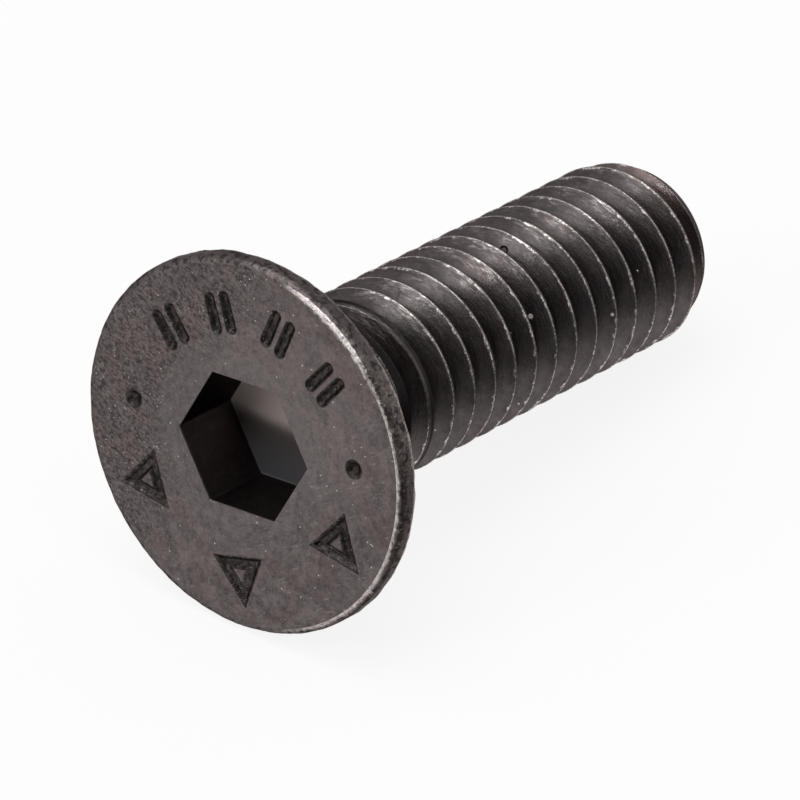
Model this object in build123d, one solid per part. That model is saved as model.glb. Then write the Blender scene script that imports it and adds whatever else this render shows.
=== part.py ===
"""M6 x 20 countersunk screw with a hexagon socket, lying as it comes to rest. Millimetres, +Z up.

The screw is one cold-headed piece with a rolled right-hand thread. It is built upright, with its
head's face at z = 0, its axis along +Z and its tip on top, and then laid down. It lies on the back
edge of its rim and on its last full thread crest, with its tip along +X, and the origin is on the
floor under the middle of its box.
"""

import os
from math import atan2, ceil, cos, degrees, floor, radians, sin, tan

from build123d import *

# Head: a flat face, a thin plain rim and the countersunk cone.
head_diameter = 11.4
edge_break_width = 0.09  # of the 45 degree break between the face and the rim
rim_height = 0.62  # from the face to the back edge of the rim
cone_angle = 90.0

# Hexagon socket with a flat bottom.
socket_across_flats = 4.02
socket_depth = 2.38
socket_turn = 24.7  # degrees from the side it lies on to a corner

# Shank, from the cone to the tip.
screw_length = 20.0  # from the head's face to the tip
neck_diameter = 5.3
neck_fillet = 0.3
neck_length = 0.28  # plain, from the cone to the run-out
runout_length = 1.25  # over which the crests rise from the neck
tip_diameter = 4.0
tip_taper = 30.0  # between the tip's cone and the axis

# Metric coarse thread, right-hand, in the proportions of its basic profile.
thread_diameter = 5.8
pitch = 1.0
flank_angle = 60.0  # between the two flanks of a groove

head_radius = head_diameter / 2
neck_radius = neck_diameter / 2
tip_radius = tip_diameter / 2
thread_radius = thread_diameter / 2
cone_end = rim_height + (head_radius - neck_radius) / tan(radians(cone_angle / 2))
neck_end = cone_end + neck_length
full_thread_start = neck_end + runout_length
tip_cone_start = screw_length - (thread_radius - tip_radius) / tan(radians(tip_taper))

flank_slope = tan(radians(flank_angle / 2))
sharp_depth = pitch / 2 / flank_slope  # of the sharp triangle that the profile is cut from
thread_depth = 17 / 24 * sharp_depth
crest_width = pitch / 8
root_radius = thread_radius - thread_depth
past_the_surface = pitch / 20  # how far a cutter stands clear of the crests


def blank():
    """The screw before its thread and socket: one turned outline, with a fillet under the head.

    The seam of its round faces is on the top side, away from what the screw lies on.
    """
    outline = Polyline(
        (0, 0),
        (head_radius - edge_break_width, 0),
        (head_radius, edge_break_width),
        (head_radius, rim_height),
        (neck_radius, cone_end),
        (neck_radius, neck_end),
        (thread_radius, full_thread_start),
        (thread_radius, tip_cone_start),
        (tip_radius, screw_length),
        (0, screw_length),
        close=True,
    )
    section = make_face(outline)
    corner = section.vertices().sort_by_distance((neck_radius, cone_end))[0]
    section = fillet(corner, neck_fillet)
    return Rot(0, 0, 180) * revolve(Plane.XZ * section, Axis.Z)


def groove_section(height):
    """The groove between two crests, cut by a plane through the axis, its middle at this height."""
    mouth_radius = thread_radius + past_the_surface
    half_mouth = (pitch - crest_width) / 2 + past_the_surface * flank_slope
    half_root = (pitch - crest_width) / 2 - thread_depth * flank_slope
    outline = Polyline(
        (root_radius, height - half_root),
        (mouth_radius, height - half_mouth),
        (mouth_radius, height + half_mouth),
        (root_radius, height + half_root),
        close=True,
    )
    return Plane.XZ * make_face(outline)


def cut_thread(screw):
    """Cut the groove turn by turn from the run-out to past the tip, then let it climb out at the neck.

    A crest crosses the side that the screw lies on just where the tip's cone starts.
    """
    turns_before_tip_cone = floor((tip_cone_start - full_thread_start) / pitch)
    turns_past_tip_cone = ceil((screw_length - tip_cone_start) / pitch) + 1
    first = tip_cone_start + pitch / 2 - turns_before_tip_cone * pitch
    for turn in range(turns_before_tip_cone + turns_past_tip_cone):
        height = first + turn * pitch
        path = Helix(pitch, pitch, thread_radius, (0, 0, height))
        screw -= sweep(groove_section(height), path=path, is_frenet=True)
    fade_length = first - neck_end
    climb = neck_radius - root_radius + past_the_surface
    climb_angle = degrees(atan2(climb, fade_length))
    path = Helix(pitch, fade_length, thread_radius, (0, 0, first), (0, 0, -1), climb_angle)
    path = Rot(0, 0, 180) * path  # a helix that runs down starts on the far side
    return screw - sweep(groove_section(first), path=path, is_frenet=True)


def cut_socket(screw):
    """The punched hexagon, straight-sided and flat-bottomed."""
    hexagon = RegularPolygon(socket_across_flats / 2, 6, major_radius=False)
    return screw - Rot(0, 0, socket_turn) * extrude(hexagon, socket_depth)


def lay_down(screw):
    """Turn the axis to +X and tip it, so that the rim's back edge and the last full crest touch z = 0."""
    dip = atan2(head_radius - thread_radius, tip_cone_start - rim_height)
    low_x = -(head_radius - edge_break_width) * sin(dip)
    high_x = screw_length * cos(dip) + tip_radius * sin(dip)
    face_centre = (-(low_x + high_x) / 2, 0, rim_height * sin(dip) + head_radius * cos(dip))
    side_it_lies_on = (-sin(dip), 0, -cos(dip))
    towards_tip = (cos(dip), 0, -sin(dip))
    return Plane(face_centre, x_dir=side_it_lies_on, z_dir=towards_tip) * screw


screw = lay_down(cut_socket(cut_thread(blank())))
os.makedirs("parts", exist_ok=True)
export_step(screw, "parts/screw.step")
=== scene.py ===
# A countersunk screw with a hexagon socket, M6 x 20, in black-oxide steel. It lies on a pale floor,
# on the back edge of its head and on its last full thread crest, with its tip along +X.

from math import atan2, ceil, cos, pi, radians, sin, tan

import bpy
from mathutils import Euler, Matrix, Vector


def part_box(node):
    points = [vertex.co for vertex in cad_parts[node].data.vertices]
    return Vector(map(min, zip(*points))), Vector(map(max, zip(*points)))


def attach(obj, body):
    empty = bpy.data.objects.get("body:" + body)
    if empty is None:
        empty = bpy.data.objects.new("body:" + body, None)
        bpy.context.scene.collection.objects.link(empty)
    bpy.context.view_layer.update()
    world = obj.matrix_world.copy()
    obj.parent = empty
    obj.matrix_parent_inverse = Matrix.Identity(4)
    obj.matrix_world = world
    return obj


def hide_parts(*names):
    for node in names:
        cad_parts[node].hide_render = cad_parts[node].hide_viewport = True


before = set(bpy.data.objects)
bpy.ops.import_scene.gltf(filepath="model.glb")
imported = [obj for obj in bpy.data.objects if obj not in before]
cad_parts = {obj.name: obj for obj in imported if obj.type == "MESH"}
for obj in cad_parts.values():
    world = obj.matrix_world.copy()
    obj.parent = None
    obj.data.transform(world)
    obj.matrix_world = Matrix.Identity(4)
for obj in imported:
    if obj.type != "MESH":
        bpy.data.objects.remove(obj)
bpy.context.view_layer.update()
bpy.ops.object.select_all(action="DESELECT")

# ------------------------------------------------------------------------------------------------
# How it lies. The screw is modelled as it is made: in millimetres, its face at z = 0, its tip on
# top, and the side that it will lie on towards +X. At the end it is laid down in its place.

MILLIMETRE = 0.001

head_radius = 5.7
rim_height = 0.62
screw_length = 20.0
thread_radius = 2.9
tip_radius = 2.0
tip_taper = 30.0  # degrees between the tip's cone and the axis
tip_cone_start = screw_length - (thread_radius - tip_radius) / tan(radians(tip_taper))

dip = atan2(head_radius - thread_radius, tip_cone_start - rim_height)
lowest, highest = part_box("screw")
tip_end = highest.x - MILLIMETRE * tip_radius * sin(dip)
face_centre = (
    tip_end - MILLIMETRE * screw_length * cos(dip),
    0.0,
    MILLIMETRE * (rim_height * sin(dip) + head_radius * cos(dip)),
)
turn_to_lie = (0.0, pi / 2 + dip, 0.0)


# ------------------------------------------------------------------------------------------------
# The finish. Black oxide is a thin, matte, brownish black skin on alloy steel. It wears through
# to bright steel on edges and crests, and it carries fine silvery specks.


class Wire:
    """One output among a material's nodes. Python's operators on it add Math nodes."""

    def __init__(self, tree, socket=None):
        self.tree = tree
        self.socket = socket

    def node(self, kind, settings, inputs, output=0):
        """Adds a node, makes its settings, feeds its inputs and gives back one of its outputs."""
        made = self.tree.nodes.new("ShaderNode" + kind)
        for name, value in settings.items():
            setattr(made, name, value)
        for name, value in inputs.items():
            if isinstance(value, Wire):
                self.tree.links.new(value.socket, made.inputs[name])
            else:
                made.inputs[name].default_value = value
        return Wire(self.tree, made.outputs[output])

    def maths(self, operation, *others):
        return self.node("Math", {"operation": operation}, dict(enumerate((self, *others))))

    def __add__(self, other):
        return self.maths("ADD", other)

    def __sub__(self, other):
        return self.maths("SUBTRACT", other)

    def __mul__(self, other):
        return self.maths("MULTIPLY", other)

    def __rsub__(self, other):
        return self * -1 + other

    __radd__ = __add__
    __rmul__ = __mul__

    def rises(self, low, high):
        """0 up to low and 1 from high on, with a soft step between them."""
        settings = {"interpolation_type": "SMOOTHSTEP"}
        return self.node("MapRange", settings, {"Value": self, "From Min": low, "From Max": high})

    def ramp(self, low, high, at_low, at_high):
        """Runs evenly from one number at low to another at high, and no further."""
        ends = {"From Min": low, "From Max": high, "To Min": at_low, "To Max": at_high}
        return self.node("MapRange", {}, {"Value": self, **ends})

    def axis(self, number):
        return self.node("SeparateXYZ", {}, {"Vector": self}, number)

    def vector(self, operation, *others, output=0):
        settings = {"operation": operation}
        return self.node("VectorMath", settings, dict(enumerate((self, *others))), output)

    def noise(self, scale, detail=3.0, roughness=0.5):
        """Cloudy noise at this place, with this many lumps to one of its units."""
        inputs = {"Vector": self, "Scale": scale, "Detail": detail, "Roughness": roughness}
        return self.node("TexNoise", {"normalize": True}, inputs)

    def specks(self, scale, size, share):
        """1 in small round specks, one in this share of the cells of a Voronoi pattern."""
        inputs = {"Vector": self, "Scale": scale}
        distance = self.node("TexVoronoi", {}, inputs, "Distance")
        lot = self.node("TexVoronoi", {}, inputs, "Color").axis(0)
        return (1 - distance.rises(size * 0.6, size)) * lot.maths("LESS_THAN", share)

    def plain_colour(self, colour):
        """One colour all over, to be tinted."""
        made = self.node("RGB", {}, {})
        made.socket.default_value = (*colour, 1.0)
        return made

    def tinted(self, mask, colour):
        """This colour where the mask is 0, and the other one where it is 1."""
        inputs = {0: mask, 6: self, 7: (*colour, 1.0)}
        return self.node("Mix", {"data_type": "RGBA"}, inputs, 2)


OXIDE = (0.115, 0.096, 0.097)
DARK_OXIDE = (0.048, 0.041, 0.042)
COOL_OXIDE = (0.118, 0.107, 0.108)
PALE_OXIDE = (0.205, 0.172, 0.168)
BROWN_OXIDE = (0.150, 0.112, 0.106)
WORN_STEEL = (0.58, 0.55, 0.53)
BRIGHT_STEEL = (0.90, 0.83, 0.80)
GLANCE_TINT = (0.4, 0.38, 0.38)  # of light that glances off the skin


def new_steel(name):
    """A bare steel material, and the place on it in the screw's own millimetres."""
    material = bpy.data.materials.new(name)
    material.use_nodes = True
    wire = Wire(material.node_tree)
    own_axes = {
        "Vector": wire.node("TexCoord", {}, {}, "Object"),
        "Location": face_centre,
        "Rotation": turn_to_lie,
        "Scale": (MILLIMETRE, MILLIMETRE, MILLIMETRE),
    }
    return material, wire.node("Mapping", {"vector_type": "TEXTURE"}, own_axes)


def distance_from_axis(place):
    x, y = place.axis(0), place.axis(1)
    return (x * x + y * y).maths("SQRT")


def outwards(place):
    """The direction straight out from the axis."""
    return place.vector("MULTIPLY", (1, 1, 0)).vector("NORMALIZE")


def facing(place, direction):
    """How far the way out from the axis points in this direction: 1 where the two agree."""
    return outwards(place).vector("DOT_PRODUCT", direction, output="Value")


def oxide_colour(place):
    """The brownish black skin, cooler in some patches, and mottled paler and darker."""
    colour = place.plain_colour(OXIDE)
    colour = colour.tinted(place.noise(0.5, 4).rises(0.4, 0.68), COOL_OXIDE)
    colour = colour.tinted(place.noise(2.1, 6, 0.7).rises(0.46, 0.72) * 0.55, PALE_OXIDE)
    return colour.tinted(place.noise(3.1, 5, 0.7).rises(0.52, 0.74) * 0.5, DARK_OXIDE)


def finish_steel(material, colour, roughness, height, **others):
    """Feeds the shader. The relief's height is in millimetres. Others are inputs by their names."""
    shader = material.node_tree.nodes["Principled BSDF"]
    shader.inputs["Metallic"].default_value = 1.0
    shader.inputs["Specular Tint"].default_value = (*GLANCE_TINT, 1.0)
    relief = {"Height": height, "Distance": MILLIMETRE, "Strength": 1.0}
    bump = height.node("Bump", {}, relief)
    varying = {"Base Color": colour, "Roughness": roughness, "Normal": bump, **others}
    for name, wire in varying.items():
        material.node_tree.links.new(wire.socket, shader.inputs[name])


# ------------------------------------------------------------------------------------------------
# The head's face. It is flat, as the heading die left it: greyer and smoother round the socket,
# with a fine leathery grain and silvery specks towards one side, and scuffs and scratches elsewhere.


def drawn_out(place, lean, across, along):
    """The place for a pattern of slanting lines: this many lumps to a millimetre each way."""
    x, y, z = place.axis(0), place.axis(1), place.axis(2)
    slanted = {0: (x + y * lean) * across, 1: (y - x * lean) * along, 2: z}
    return place.node("CombineXYZ", {}, slanted)


face_steel, place = new_steel("face_steel")
x, y, z = place.axis(0), place.axis(1), place.axis(2)
radius = distance_from_axis(place)
cloud = place.noise(0.9, 4, 0.6)

# The grain: fine ridges, out beyond the socket and towards +Y.
to_grainy_side = y * 0.9 - x * 0.3 + cloud * 3.2 - 1.6
grainy = to_grainy_side.rises(0.0, 2.6) * radius.rises(2.5, 3.7)
across_grain = x * 0.96 + y * 0.28
along_grain = y * 0.96 - x * 0.28 + place.noise(1.3, 2) * 0.5
grain_place = place.node("CombineXYZ", {}, {0: across_grain * 9, 1: along_grain * 4.5, 2: z})
grain = grain_place.noise(1.0, 3, 0.65)

# Scratches on the scuffed side, short nicks in patches, and specks that glitter.
to_scuffed_side = x * 0.5 - y * 0.75 + cloud * 5 - 2.4
scuffed = to_scuffed_side.rises(0.0, 2.6) * place.noise(1.4, 3).rises(0.42, 0.62)
scratches = drawn_out(place, -0.6, 12, 1.8).noise(1.0, 4, 0.7).rises(0.54, 0.68) * scuffed
nicks = drawn_out(place, 0.4, 12, 3.2).noise(1.0, 3, 0.65).rises(0.64, 0.74)
nicks = nicks * place.noise(1.1, 2).rises(0.4, 0.56)
glitter = place.noise(10.0, 2, 0.7).rises(0.62, 0.7) * place.noise(1.2, 3).rises(0.44, 0.6)
glitter = glitter * (0.3 + grainy * 0.7)

# Large smudges first, and then the mottle and the grain over them.
mottle = place.noise(4.6, 4, 0.65)
fine = place.noise(11.0, 3, 0.7)
colour = oxide_colour(place).tinted(place.noise(0.8, 3).rises(0.42, 0.62) * 0.5, BROWN_OXIDE)
colour = colour.tinted((1 - radius.rises(2.6, 3.8)) * 0.7, COOL_OXIDE)
# The face is made paler towards -X and -Y round the socket, and darker towards +X and -Y.
paler_part = (x * -1 - y * 0.6).rises(-0.5, 3.5) * (1 - radius.rises(3.4, 4.8))
darker_part = (x * 0.8 - y * 0.6).rises(1.2, 4.2)
colour = colour.tinted(paler_part * 0.4, PALE_OXIDE).tinted(darker_part * 0.28, DARK_OXIDE)
colour = colour.tinted(place.noise(1.3, 5, 0.62).rises(0.45, 0.64) * 0.5, PALE_OXIDE)
colour = colour.tinted(place.noise(1.2, 3, 0.55).rises(0.5, 0.62) * 0.28, DARK_OXIDE)
colour = colour.tinted(mottle.rises(0.4, 0.7) * 0.45, PALE_OXIDE)
colour = colour.tinted((1 - mottle.rises(0.3, 0.5)) * 0.25, DARK_OXIDE)
fine_share = grainy * 0.3 + 0.2
colour = colour.tinted((1 - fine.rises(0.36, 0.54)) * fine_share, DARK_OXIDE)
colour = colour.tinted(fine.rises(0.52, 0.7) * fine_share * 1.3, PALE_OXIDE)
colour = colour.tinted(place.specks(4.2, 0.13, 0.26) * 0.75, WORN_STEEL)
colour = colour.tinted(grainy * (1 - grain.rises(0.36, 0.52)) * 0.75, DARK_OXIDE)
colour = colour.tinted(grainy * grain.rises(0.52, 0.72) * 0.5, PALE_OXIDE)

# The edge is rubbed bright along one stretch, and the same stretch is also a painted highlight, where
# the key lamp's highlight falls.
ragged = place.noise(4.0, 4, 0.7)
rubbed_and_highlight = facing(place, (-0.84, -0.54, 0)).rises(0.93, 0.985)
rubbed_and_highlight = rubbed_and_highlight * (radius + ragged * 0.4).rises(head_radius - 0.1, head_radius + 0.02)
colour = colour.tinted(rubbed_and_highlight * 0.8, BRIGHT_STEEL)
colour = colour.tinted((scratches + nicks) * 0.25, WORN_STEEL).tinted(glitter * 0.8, WORN_STEEL)
roughness = mottle * 0.16 + 0.3 - glitter * 0.1
height = grain * grainy * 0.06 + fine * 0.009 + mottle * 0.014 - scratches * 0.004
height = height + rubbed_and_highlight * ragged * 0.1
finish_steel(face_steel, colour, roughness, height)

# The rim and the cone under it are as they came from the die and the tumbler: blotchy, dented
# along both edges, and bright where the edges have rubbed, with a painted highlight on one stretch of
# the front edge and a painted shadow line behind it.

HANDLED_OXIDE = (0.34, 0.278, 0.265)

rim_steel, place = new_steel("rim_steel")
z = place.axis(2)
radius = distance_from_axis(place)
blotches = place.noise(4.6, 4, 0.62)
ragged = place.noise(4.0, 4, 0.7)
glints = place.noise(6.0, 3, 0.65)
rubbed_and_highlight = facing(place, (-0.88, -0.47, 0)).rises(0.93, 0.985)
worn_side = facing(place, (0.15, -1, 0)).rises(0.4, 0.9)
painted_light_top = facing(place, (-1, 0.3, 0)).rises(0.85, 1.0)
on_cone = z.rises(rim_height + 0.15, rim_height + 0.7)

# A bright line on the front edge, worn and on one stretch a painted highlight; a dark line behind it,
# which is a painted shadow; and a bright one on the back edge.
front_reach = rubbed_and_highlight * 0.03 + ragged * 0.07 - 0.01
front_edge = (front_reach - z).rises(-0.008, 0.015) * (worn_side * 0.65).maths("MAXIMUM", rubbed_and_highlight)
front_edge = front_edge * (glints.rises(0.34, 0.56) * 0.6 + 0.4)
painted_shadow_line = z.rises(0.03, 0.08) * (1 - (z + blotches * 0.4).rises(0.36, 0.5))
back_edge = (z + ragged * 0.2).rises(rim_height - 0.02, rim_height + 0.05)
back_edge = back_edge * radius.rises(head_radius - 0.16, head_radius - 0.06)
back_edge = back_edge * worn_side.maths("MAXIMUM", 0.2) * glints.rises(0.3, 0.5)

colour = oxide_colour(place).tinted(worn_side * (1 - on_cone) * 0.75, HANDLED_OXIDE)
# The top side of the rim is painted paler: painted light.
colour = colour.tinted(painted_light_top * 0.4, PALE_OXIDE)
colour = colour.tinted(blotches.rises(0.5, 0.6) * (0.85 - on_cone * 0.6), DARK_OXIDE)
# A painted shadow line just behind the front edge.
colour = colour.tinted(painted_shadow_line * worn_side * 0.75, DARK_OXIDE)
colour = colour.tinted((1 - blotches.rises(0.34, 0.46)) * (0.4 + worn_side * 0.4), PALE_OXIDE)
colour = colour.tinted(glints.rises(0.58, 0.68) * worn_side * 0.5, WORN_STEEL)
# The bright front line, worn and partly a painted highlight, and the worn back line.
colour = colour.tinted(front_edge, BRIGHT_STEEL).tinted(back_edge * 0.9, BRIGHT_STEEL)
roughness = blotches * 0.2 + 0.28
height = blotches * 0.06 + place.noise(9.0, 4, 0.6) * 0.018
finish_steel(rim_steel, colour, roughness, height)

# The blank is drawn up ring by ring from the face: the rounded edge, the rim, the 90 degree cone,
# the fillet and the neck, the run-out, the shank over the thread's crests, and the tip's cone, which
# turns steeper at its shoulder.

neck_radius = 2.65
neck_fillet = 0.3
neck_length = 0.28
run_out_length = 1.65
cone_end = rim_height + head_radius - neck_radius
neck_end = cone_end + neck_length
full_thread_start = neck_end + run_out_length
face_edge = 0.2  # radius of the rounded edge of the face
back_edge_width = 0.05
tip_shoulder = screw_length - 0.78
tip_shoulder_radius = 2.5
tip_edge = 0.1
around = 360

# The rings lie close on the rim and on the first of the cone, where the dents will be.
edge_steps, rim_steps, cone_steps, fillet_steps = 5, 5, 8, 4
cone_step = 0.09

outline = []
for step in range(edge_steps + 1):
    angle = radians(90 / edge_steps * step)
    outline.append((head_radius - face_edge * (1 - sin(angle)), face_edge * (1 - cos(angle))))
plain_rim = rim_height - back_edge_width - face_edge
for step in range(1, rim_steps + 1):
    outline.append((head_radius, face_edge + step / rim_steps * plain_rim))
for step in range(cone_steps):
    down_cone = back_edge_width + cone_step * step
    outline.append((head_radius - down_cone, rim_height + down_cone))
fillet_tangent = neck_fillet * tan(radians(45 / 2))
for step in range(fillet_steps + 1):
    angle = radians(45 - 45 / fillet_steps * step)
    outline.append(
        (
            neck_radius + neck_fillet * (1 - cos(angle)),
            cone_end + fillet_tangent - neck_fillet * sin(angle),
        )
    )
outline += [
    (neck_radius, neck_end),
    (thread_radius, full_thread_start),
    (thread_radius, tip_cone_start),
    (tip_shoulder_radius, tip_shoulder),
    (tip_radius - tip_edge, screw_length - tip_edge),
    (tip_radius - 2 * tip_edge, screw_length),
]

bpy.ops.mesh.primitive_circle_add(vertices=around, radius=outline[0][0], fill_type="NGON")
screw = bpy.context.object
screw.name = "screw_body"
screw.data.materials.append(face_steel)
screw.data.materials.append(rim_steel)
bpy.ops.object.mode_set(mode="EDIT")
bpy.ops.mesh.select_all(action="SELECT")
ring_radius, ring_height = outline[0]
for next_radius, next_height in outline[1:]:
    rise = (0, 0, next_height - ring_height)
    bpy.ops.mesh.extrude_region_move(TRANSFORM_OT_translate={"value": rise})
    growth = next_radius / ring_radius
    bpy.ops.transform.resize(value=(growth, growth, 1), center_override=(0, 0, next_height))
    ring_radius, ring_height = next_radius, next_height
bpy.ops.mesh.select_all(action="SELECT")
bpy.ops.mesh.normals_make_consistent(inside=False)
bpy.ops.object.mode_set(mode="OBJECT")
on_face = 0.001  # a point or face no higher than this is on the flat face
for face in screw.data.polygons:
    face.material_index = 0 if face.center.z < on_face else 1

# The edges of the rim are dented: their rings are pushed in and out by a few hundredths, most at the
# back edge and by half as much at the front one.

dent_reach = 0.45  # to each side of the back edge
dented = screw.vertex_groups.new(name="rim")
for vertex in screw.data.vertices:
    from_back_edge = abs(vertex.co.z - rim_height)
    strength = 1.0 - min(from_back_edge / dent_reach, 1.0)
    if vertex.co.z < face_edge:
        strength = 0.5
    if vertex.co.z < on_face:
        strength = 0.0
    dented.add([vertex.index], strength, "REPLACE")
dents = bpy.data.textures.new("dents", "CLOUDS")
dents.noise_scale = 0.42
dents.noise_depth = 3
push = screw.modifiers.new("dents", "DISPLACE")
push.texture = dents
push.texture_coords = "LOCAL"
push.vertex_group = "rim"
push.strength = 0.09
push.mid_level = 0.5
bpy.context.view_layer.objects.active = screw
bpy.ops.object.modifier_apply(modifier="dents")


# ------------------------------------------------------------------------------------------------
# The thread. It is rolled, right-hand, in the metric coarse profile: 60 degree flanks, a rounded
# root and a narrow crest. The rolls leave fine streaks along it, and the edges of its crests are
# worn bright.

pitch = 1.0
crest_width = pitch / 8
flank_slope = tan(radians(30))
root_radius = thread_radius - 17 / 24 * pitch / 2 / flank_slope
crest_break = 0.045  # depth of the break between crest and flank
steps_in_turn = 144

TIP_BROWN = (0.17, 0.125, 0.118)
# The near black below is painted shade.
SHADE_BLACK = (0.02, 0.017, 0.018)

# Each dust grain and the dent: where it is, and its radius.
DUST_GRAINS = (((-1.27, -2.07, 10.77), 0.1), ((-0.48, -2.77, 14.05), 0.07))
DENT = ((-2.46, -0.27, 11.65), 0.16)


def round_spot(place, centre, radius):
    """1 up to half of a round spot's radius, and from there down to 0 at its edge."""
    return 1 - place.vector("DISTANCE", centre, output="Value").rises(radius * 0.5, radius)


thread_steel, place = new_steel("thread_steel")
x, y, z = place.axis(0), place.axis(1), place.axis(2)
turned = y.maths("ARCTAN2", x) * (pitch / (2 * pi))
along = (z - turned - tip_cone_start + pitch / 2).maths("FRACT") - pitch / 2
run_out = z.ramp(neck_end, full_thread_start, neck_radius, thread_radius)
tip_cone = z.ramp(tip_cone_start, tip_shoulder, thread_radius, tip_shoulder_radius)
below_crest = run_out.maths("MINIMUM", tip_cone) - distance_from_axis(place)
upper = facing(place, (-0.985, -0.17, 0)).rises(0.8, 0.98)
near_tip = z.rises(tip_cone_start - 0.6, tip_cone_start + 0.5)

# Streaks follow the thread's turns. The flat end of the tip has none.
streak_place = place.node("CombineXYZ", {}, {0: z * 0.6, 2: along * 11})
streak_place = outwards(place).vector("MULTIPLY_ADD", (3.4, 3.4, 0), streak_place)
at_end = z.rises(screw_length - 0.12, screw_length - 0.02)
streaks = streak_place.noise(1.0, 4, 0.65) * (1 - at_end) + at_end * 0.5
fine_streaks = streak_place.vector("MULTIPLY", (3, 3, 2.4)).noise(1.0, 3, 0.65)
uneven = place.noise(2.4, 4, 0.65)
grit = place.noise(13.0, 3, 0.7)
pits = place.specks(1.0, 0.085, 0.22)
dust = place.specks(1.7, 0.07, 0.14)
for centre, size in DUST_GRAINS:
    dust = dust.maths("MAXIMUM", round_spot(place, centre, size))
pits = pits.maths("MAXIMUM", round_spot(place, *DENT))
# On the upper side near the crests, the sparkle is a painted highlight, in patches.
patchy = place.noise(0.6, 2).rises(0.38, 0.62)
near_crest = 1 - below_crest.rises(0.1, 0.36)
sparkle_highlight = fine_streaks.rises(0.44, 0.64) * streaks.rises(0.38, 0.6) * upper * near_crest

# The worn line on each crest, broken and uneven. On the low, wide crest of the run-out it is on one
# edge only.
line_width = uneven.rises(0.48, 0.7) * 0.045 + 0.004
line = (1 - below_crest.rises(line_width, line_width + 0.02)) * below_crest.rises(0.0005, 0.0065)
line = line * z.rises(neck_end, neck_end + 0.4) * (grit.rises(0.38, 0.6) * 0.85 + 0.15)
flat_half = (thread_radius - run_out) * flank_slope
on_flat = (along + flat_half).rises(0.0, 0.04) * flat_half.rises(0.01, 0.04)
# Painted shade: the neck and the low crest of the run-out, under the head, are painted near black,
# and the crest of the tip's cone is painted darker.
shaded_neck = 1 - z.rises(neck_end + 0.3, neck_end + 1.1)
shaded_tip = z.rises(tip_cone_start + 0.2, tip_cone_start + 0.5) * (1 - below_crest.rises(0.02, 0.06))
shaded_run_out = on_flat * (1 - below_crest.rises(0.02, 0.06))
neck_ring = z.rises(neck_end - 0.06, neck_end) * (1 - z.rises(neck_end + 0.01, neck_end + 0.06))

colour = oxide_colour(place).tinted(streaks.rises(0.58, 0.8) * 0.12, WORN_STEEL)
colour = colour.tinted((1 - streaks.rises(0.34, 0.5)) * 0.36, DARK_OXIDE)
# Darker towards the root of the groove: painted shade.
colour = colour.tinted(below_crest.rises(0.2, 0.55) * 0.4, DARK_OXIDE)
# Painted shade on the upper side, between the highlight patches.
colour = colour.tinted((1 - patchy) * upper * 0.5, DARK_OXIDE)
colour = colour.tinted(near_tip * 0.6, TIP_BROWN)
# The painted highlight patches, and then the darker pits.
colour = colour.tinted(sparkle_highlight * (patchy * 0.5 + 0.1), WORN_STEEL).tinted(pits * 0.75, DARK_OXIDE)
# Painted shade on the tip's cone and on the neck.
colour = colour.tinted(shaded_tip * 0.4, DARK_OXIDE).tinted(shaded_neck * 0.8, SHADE_BLACK)
colour = colour.tinted(line * (1 - on_flat) * 0.9, BRIGHT_STEEL).tinted(dust, BRIGHT_STEEL)
# Painted shade on the low crest of the run-out.
colour = colour.tinted(shaded_run_out * 0.75, SHADE_BLACK)
colour = colour.tinted(neck_ring * grit.rises(0.4, 0.6) * 0.5, WORN_STEEL)
roughness = 0.31 - patchy * 0.07 + streaks * 0.1 + dust * 0.3 + shaded_tip * 0.3

height = streaks * 0.011 + fine_streaks * (0.009 - near_tip * 0.006) * (1 - at_end) + grit * 0.006
height = height - pits * 0.04 + dust * 0.008
finish_steel(thread_steel, colour, roughness, height)


def cut(cutter):
    """Takes a cutter out of the screw. The new faces have the cutter's material."""
    knife = screw.modifiers.new("cut", "BOOLEAN")
    knife.operation = "DIFFERENCE"
    knife.solver = "EXACT"
    knife.material_mode = "TRANSFER"
    knife.object = cutter
    bpy.context.view_layer.objects.active = screw
    bpy.ops.object.modifier_apply(modifier="cut")
    bpy.data.objects.remove(cutter)


# Half of the groove's section, from its mouth to the middle of its root, and then its mirror image.
mouth_clearance = 0.01
half_mouth = (pitch - crest_width) / 2 + crest_break * (1 / flank_slope - flank_slope)
root_arc = (pitch - crest_width) / 2 / flank_slope - (thread_radius - root_radius)
half_section = [
    (thread_radius + mouth_clearance, half_mouth + mouth_clearance / flank_slope),
    (thread_radius - crest_break, (pitch - crest_width) / 2 - crest_break * flank_slope),
]
root_steps = 3
for step in range(root_steps + 1):
    angle = radians(60 - 60 / root_steps * step)
    half_section.append((root_radius + root_arc * (1 - cos(angle)), root_arc * sin(angle)))
section = half_section[:-1] + [(r, -h) for r, h in half_section[::-1]]

# A crest crosses the side that the screw lies on just where the tip's cone starts.
turns_before_tip_cone = 15
thread_start = tip_cone_start + pitch / 2 - turns_before_tip_cone * pitch
turns = ceil((screw_length + pitch - thread_start) / pitch)

bpy.ops.mesh.primitive_circle_add(vertices=len(section))
groove = bpy.context.object
for vertex, (out, up) in zip(groove.data.vertices, section):
    vertex.co = (out, 0, thread_start + up)
roll = groove.modifiers.new("roll", "SCREW")
roll.axis = "Z"
roll.angle = 2 * pi
roll.screw_offset = pitch
roll.iterations = turns
roll.steps = steps_in_turn
roll.render_steps = steps_in_turn
bpy.ops.object.modifier_apply(modifier="roll")

# At the neck the groove climbs out of the shank over its first half turn.
fade_turns = 0.55
clear_of_neck = 0.05
climb = neck_radius - root_radius + clear_of_neck
for vertex in groove.data.vertices:
    step = vertex.index // len(section)
    out_by = climb * max(0.0, 1 - step / (fade_turns * steps_in_turn))
    straight_out = Vector((vertex.co.x, vertex.co.y, 0)).normalized()
    vertex.co += straight_out * out_by

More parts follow.
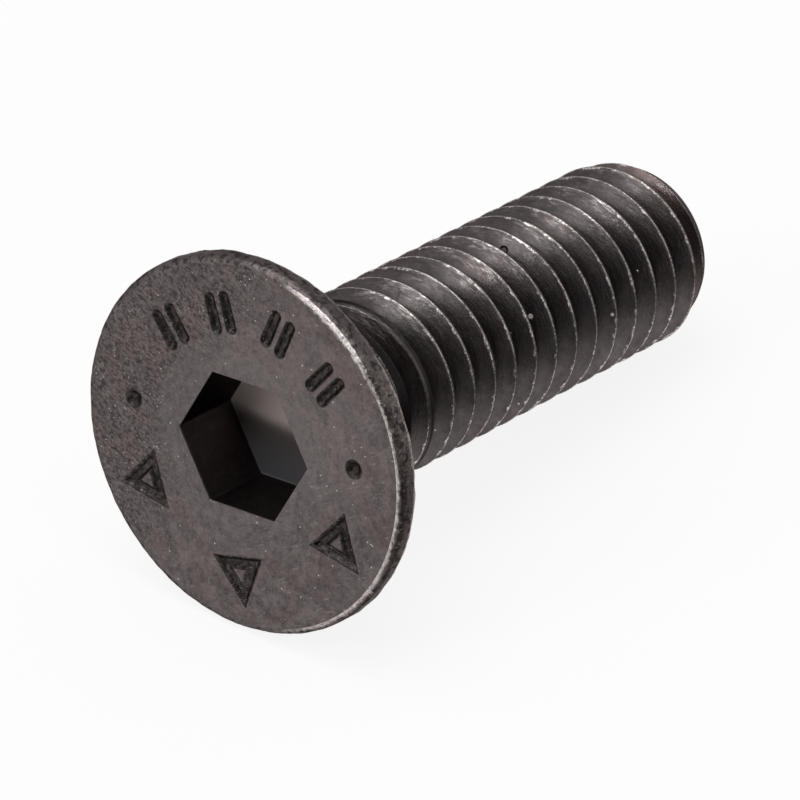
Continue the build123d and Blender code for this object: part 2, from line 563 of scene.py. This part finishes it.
bpy.ops.object.mode_set(mode="EDIT")
bpy.ops.mesh.select_mode(type="EDGE")
bpy.ops.mesh.select_all(action="DESELECT")
bpy.ops.mesh.select_non_manifold()
bpy.ops.mesh.fill_holes(sides=0)
bpy.ops.mesh.select_all(action="SELECT")
bpy.ops.mesh.normals_make_consistent(inside=False)
bpy.ops.object.mode_set(mode="OBJECT")
groove.data.materials.append(thread_steel)
cut(groove)
thread_slot = screw.data.materials.find(thread_steel.name)
for face in screw.data.polygons:
    if face.center.z > cone_end:
        face.material_index = thread_slot

# ------------------------------------------------------------------------------------------------
# The hexagon socket. It is punched for a 4 mm key, with a narrow break at its mouth, walls painted
# darker as shade, and a flat, duller bottom with a painted reflection: pale towards the top side,
# dark below and cool grey lowest.

socket_flats = 4.02
socket_depth = 2.38
socket_turn = 24.7  # degrees from the side that the screw lies on to a corner
socket_corner = 0.05
mouth_break = 0.015
half_side = 30  # degrees from a hexagon's corner to the middle of its side

# The bottom's three colours are a painted reflection.
REFLECTED_PALE = (0.47, 0.39, 0.37)
REFLECTED_DARK = (0.085, 0.075, 0.073)
REFLECTED_COOL = (0.12, 0.12, 0.13)

socket_steel, place = new_steel("socket_steel")
x, z = place.axis(0), place.axis(2)
punched = place.vector("MULTIPLY", (6, 6, 1.2)).noise(1.0, 4, 0.6)
mouth = (1 - z.rises(0.005, 0.03)) * place.noise(3.0, 4, 0.7).rises(0.45, 0.62)
bottom = z.rises(socket_depth - 0.05, socket_depth - 0.01)
reflection_lower = x.rises(0.1, 0.75)
# The walls are painted darker, as shade in the recess, and the bottom carries the painted reflection.
colour = oxide_colour(place).tinted(0.3 * (1 - bottom), DARK_OXIDE)
colour = colour.tinted(bottom * (1 - reflection_lower), REFLECTED_PALE).tinted(bottom * reflection_lower, REFLECTED_DARK)
colour = colour.tinted(bottom * x.rises(0.8, 1.7) * 0.8, REFLECTED_COOL)
colour = colour.tinted(mouth * 0.7, WORN_STEEL)
colour = colour.tinted(place.specks(5.0, 0.15, 0.06) * 0.2, WORN_STEEL)
roughness = 0.3 + punched * 0.14
height = punched * 0.008 * (1 - bottom) + place.noise(9.0, 2) * 0.002
finish_steel(socket_steel, colour, roughness, height, Metallic=1 - bottom * 0.7)

key_radius = socket_flats / 2 / cos(radians(half_side))
bpy.ops.mesh.primitive_cylinder_add(
    vertices=6,
    radius=key_radius,
    depth=socket_depth,
    location=(0, 0, socket_depth / 2),
    rotation=(0, 0, radians(socket_turn - half_side)),
)
punch = bpy.context.object
bpy.ops.object.transform_apply(location=True, rotation=True, scale=True)
bpy.ops.object.mode_set(mode="EDIT")
bpy.ops.mesh.select_mode(type="EDGE")
bpy.ops.object.mode_set(mode="OBJECT")
for edge in punch.data.edges:
    low, high = (punch.data.vertices[end].co.z for end in edge.vertices)
    edge.select = abs(low - high) > socket_depth / 2
bpy.ops.object.mode_set(mode="EDIT")
bpy.ops.mesh.bevel(offset=socket_corner, segments=3)
bpy.ops.mesh.select_all(action="DESELECT")
bpy.ops.object.mode_set(mode="OBJECT")
for face in punch.data.polygons:
    face.select = face.normal.z < -0.5
bpy.ops.object.mode_set(mode="EDIT")
bpy.ops.mesh.select_mode(type="FACE")
bpy.ops.transform.translate(value=(0, 0, mouth_break))
mouth_growth = 1 + 4 * mouth_break / socket_flats
bpy.ops.mesh.extrude_region_move(TRANSFORM_OT_translate={"value": (0, 0, -2 * mouth_break)})
bpy.ops.transform.resize(value=(mouth_growth, mouth_growth, 1), center_override=(0, 0, 0))
bpy.ops.mesh.select_all(action="SELECT")
bpy.ops.mesh.normals_make_consistent(inside=False)
bpy.ops.object.mode_set(mode="OBJECT")
punch.data.materials.append(socket_steel)
cut(punch)

# ------------------------------------------------------------------------------------------------
# The stamps on the face. They are plain signs, struck with blunt punches: four pairs of radial
# strokes, three open triangles and two dots between the two groups.

# The near black below is painted shade in the struck recesses.
STAMP_SHADE = (0.022, 0.019, 0.019)

stamp_steel, place = new_steel("stamp_steel")
struck = place.noise(6.0, 4, 0.65)
# The stamps' insides are painted dark: painted shade.
colour = oxide_colour(place).tinted(struck.rises(0.3, 0.62) * 0.6 + 0.3, STAMP_SHADE)
colour = colour.tinted(place.noise(7.0, 2, 0.7).rises(0.66, 0.76) * 0.6, WORN_STEEL)
height = struck * 0.05 + place.noise(16.0, 2) * 0.006
finish_steel(stamp_steel, colour, 0.26 + struck * 0.2, height)

stamp_radius = 4.0  # of the circle that they stand on
stroke_length = 1.2
stroke_end = 0.15  # radius of a stroke's round end
stroke_spacing = 0.54
pair_angles = (133, 162, 192, 221)
pair_tilt = 5  # to one side and the other by turns, in degrees
triangle_angles = (54, -5, -65)
triangle_tilt = 12
triangle_corner = 0.66  # from its middle
dot_angles = (90, -102)
dot_growth = (1.5, 1.5, 1.1, 1)

# The punch's nose, from its tip up to where it stands clear of the face: half its width and depth.
nose = [
    (0.04, 0.12),
    (0.08, 0.105),
    (0.115, 0.07),
    (0.14, 0.035),
    (0.175, 0.008),
    (0.23, -0.006),
    (0.23, -0.1),
]


def strike(angle, tilt=0.0):
    """Takes the active punch, which stands upright over the axis, to its place on the face."""
    turn = Matrix.Rotation(radians(angle), 4, "Z")
    out = Matrix.Translation((stamp_radius, 0, 0))
    bpy.context.object.matrix_world = turn @ out @ Matrix.Rotation(radians(tilt), 4, "Z")


def round_punch():
    """A punch with a round nose, drawn up ring by ring from its tip."""
    (wide, deep), *rest = nose
    bpy.ops.mesh.primitive_circle_add(
        vertices=18, radius=wide, fill_type="NGON", location=(0, 0, deep)
    )
    bpy.ops.object.transform_apply(location=True)
    bpy.ops.object.mode_set(mode="EDIT")
    bpy.ops.mesh.select_all(action="SELECT")
    for next_wide, next_deep in rest:
        rise = (0, 0, next_deep - deep)
        bpy.ops.mesh.extrude_region_move(TRANSFORM_OT_translate={"value": rise})
        spread = next_wide / wide
        bpy.ops.transform.resize(value=(spread, spread, 1), center_override=(0, 0, next_deep))
        wide, deep = next_wide, next_deep
    bpy.ops.object.mode_set(mode="OBJECT")
    return bpy.context.object


bpy.ops.object.select_all(action="DESELECT")
nibs = []
for number, angle in enumerate(pair_angles):
    for side in (-1, 1):
        nib = round_punch()
        for vertex in nib.data.vertices:
            towards_end = 1 if vertex.co.x > 0.0001 else -1
            vertex.co.x += (stroke_length / 2 - stroke_end) * towards_end
            vertex.co.y += side * stroke_spacing / 2
        strike(angle, pair_tilt * (-1) ** number)
        nibs.append(nib)

# A triangle's punch is the nose's section turned round its middle in three steps.
for number, angle in enumerate(triangle_angles):
    ring = [(wide, deep) for wide, deep in nose] + [(-wide, deep) for wide, deep in nose[::-1]]
    bpy.ops.mesh.primitive_circle_add(vertices=len(ring))
    nib = bpy.context.object
    for vertex, (wide, deep) in zip(nib.data.vertices, ring):
        vertex.co = (triangle_corner + 2 * wide, 0, deep)
    turn_round = nib.modifiers.new("turn_round", "SCREW")
    turn_round.axis = "Z"
    turn_round.angle = 2 * pi
    turn_round.steps = 3
    turn_round.render_steps = 3
    turn_round.use_merge_vertices = True
    bpy.ops.object.modifier_apply(modifier="turn_round")
    strike(angle, triangle_tilt * (-1) ** number)
    nibs.append(nib)
for angle in dot_angles:
    nibs.append(round_punch())
    nibs[-1].data.transform(Matrix.Diagonal(dot_growth))
    strike(angle)
bpy.ops.object.select_all(action="DESELECT")
for nib in nibs:
    nib.select_set(True)
bpy.ops.object.join()
stamp = bpy.context.object
bpy.ops.object.transform_apply(location=True, rotation=True, scale=True)
bpy.ops.object.mode_set(mode="EDIT")
bpy.ops.mesh.select_all(action="SELECT")
bpy.ops.mesh.normals_make_consistent(inside=False)
bpy.ops.object.mode_set(mode="OBJECT")
stamp.data.materials.append(stamp_steel)
cut(stamp)

# Where the cutters crossed the turned faces, points that fall together are merged, and the faces are
# made triangles with no slivers among them, so that the skin stays closed.
merge_distance = 0.0006
bpy.ops.object.select_all(action="DESELECT")
screw.select_set(True)
bpy.context.view_layer.objects.active = screw
bpy.ops.object.mode_set(mode="EDIT")
bpy.ops.mesh.select_mode(type="VERT")
bpy.ops.mesh.select_all(action="SELECT")
bpy.ops.mesh.remove_doubles(threshold=merge_distance)
bpy.ops.mesh.dissolve_degenerate(threshold=merge_distance)
bpy.ops.mesh.quads_convert_to_tris()
bpy.ops.mesh.dissolve_degenerate(threshold=merge_distance)
bpy.ops.object.mode_set(mode="OBJECT")

# ------------------------------------------------------------------------------------------------
# The screw is laid down where the plain solid lies, and stands in for it. Edges sharper than the
# given angle stay crisp.

screw.matrix_world = (
    Matrix.Translation(face_centre)
    @ Euler(turn_to_lie).to_matrix().to_4x4()
    @ Matrix.Scale(MILLIMETRE, 4)
)
bpy.ops.object.select_all(action="DESELECT")
screw.select_set(True)
bpy.context.view_layer.objects.active = screw
bpy.ops.object.transform_apply(location=True, rotation=True, scale=True)
crisp_angle = radians(33)
bpy.ops.object.shade_smooth_by_angle(angle=crisp_angle)
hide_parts("screw")
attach(screw, "root")

# ------------------------------------------------------------------------------------------------
# The floor. To the camera and in reflections it is plain white, as a sheet under studio light is, and
# it still takes the screw's shadow. The screw's lower flanks see it fade to grey towards -Y.

FLOOR_PAINT = (0.9, 0.9, 0.9)
FADED_FLOOR = (0.16, 0.16, 0.16)
WHITE = (1, 1, 1)
faded_at = -0.0115  # where the floor is grey, along Y in metres
white_from = -0.0018

floor_white = bpy.data.materials.new("floor_white")
floor_white.use_nodes = True
tree = floor_white.node_tree
tree.nodes.remove(tree.nodes["Principled BSDF"])
wire = Wire(tree)
seen = wire.node("LightPath", {}, {}, "Is Camera Ray")
mirrored = wire.node("LightPath", {}, {}, "Is Glossy Ray")
through = wire.node("LightPath", {}, {}, "Is Transmission Ray")
lit = wire.node("BsdfDiffuse", {}, {"Color": (*FLOOR_PAINT, 1)})
across_floor = wire.node("TexCoord", {}, {}, "Object").axis(1)
whiteness = across_floor.ramp(faded_at, white_from, 0.0, 1.0).maths("MAXIMUM", seen)
glow = wire.plain_colour(FADED_FLOOR).tinted(whiteness, WHITE)
plain = wire.node("Emission", {}, {"Color": glow, "Strength": 1.0})
share = (seen * 0.87).maths("MAXIMUM", mirrored).maths("MAXIMUM", through)
surface = wire.node("MixShader", {}, {0: share, 1: lit, 2: plain})
tree.links.new(surface.socket, tree.nodes["Material Output"].inputs["Surface"])

bpy.ops.mesh.primitive_plane_add(size=6)
ground = bpy.context.object
ground.name = "floor"
ground.data.materials.append(floor_white)

# The studio: white to the camera, and a soft even light on the screw but for one dark side, which the
# steel mirrors. A key lamp and a large lamp overhead shine on it.

world = bpy.data.worlds.new("studio")
bpy.context.scene.world = world
world.use_nodes = True
tree = world.node_tree
wire = Wire(tree)
ray = wire.node("TexCoord", {}, {}, "Generated")
dark_side = (-0.897, -0.418, 0.139)
towards_dark = ray.vector("DOT_PRODUCT", dark_side, output="Value")
studio = (1 - towards_dark.rises(0.6, 0.93)) * 0.55 + 0.03
seen = wire.node("LightPath", {}, {}, "Is Camera Ray")
strength = studio.maths("MAXIMUM", seen)
tree.links.new(strength.socket, tree.nodes["Background"].inputs["Strength"])
tree.nodes["Background"].inputs["Color"].default_value = (*WHITE, 1)

middle = Vector((lowest + highest) / 2)


def softbox(name, towards, distance, size, radiance):
    """A square lamp that shines on the screw from this direction."""
    lamp = bpy.data.lights.new(name, "AREA")
    lamp.shape = "SQUARE"
    lamp.size = size
    lamp.energy = radiance * pi * size * size
    box = bpy.data.objects.new(name, lamp)
    bpy.context.scene.collection.objects.link(box)
    direction = Vector(towards).normalized()
    box.location = middle + direction * distance
    box.rotation_euler = direction.to_track_quat("Z", "Y").to_euler()


softbox("key_softbox", (-0.791, 0.212, 0.574), 0.6, 0.2, 6.0)
softbox("top_softbox", (-0.1, 0.1, 1.0), 0.7, 0.5, 2.5)

# The camera, with a long lens, looks down on the head's face and on the screw's -Y side.

camera_azimuth = radians(-52.14)
camera_elevation = radians(34.44)
camera_distance = 223.76 * MILLIMETRE
target = Vector((-1.553, 0.590, 2.740)) * MILLIMETRE
lens = bpy.data.cameras.new("camera")
lens.lens = 342.8
lens.sensor_width = 36
lens.clip_start = 0.01
lens.clip_end = 20
camera = bpy.data.objects.new("camera", lens)
bpy.context.scene.collection.objects.link(camera)
away = Vector(
    (
        sin(camera_azimuth) * cos(camera_elevation),
        -cos(camera_azimuth) * cos(camera_elevation),
        sin(camera_elevation),
    )
)
camera.location = target + away * camera_distance
camera.rotation_euler = away.to_track_quat("Z", "Y").to_euler()
bpy.context.scene.camera = camera
bpy.context.scene.view_settings.view_transform = "Standard"
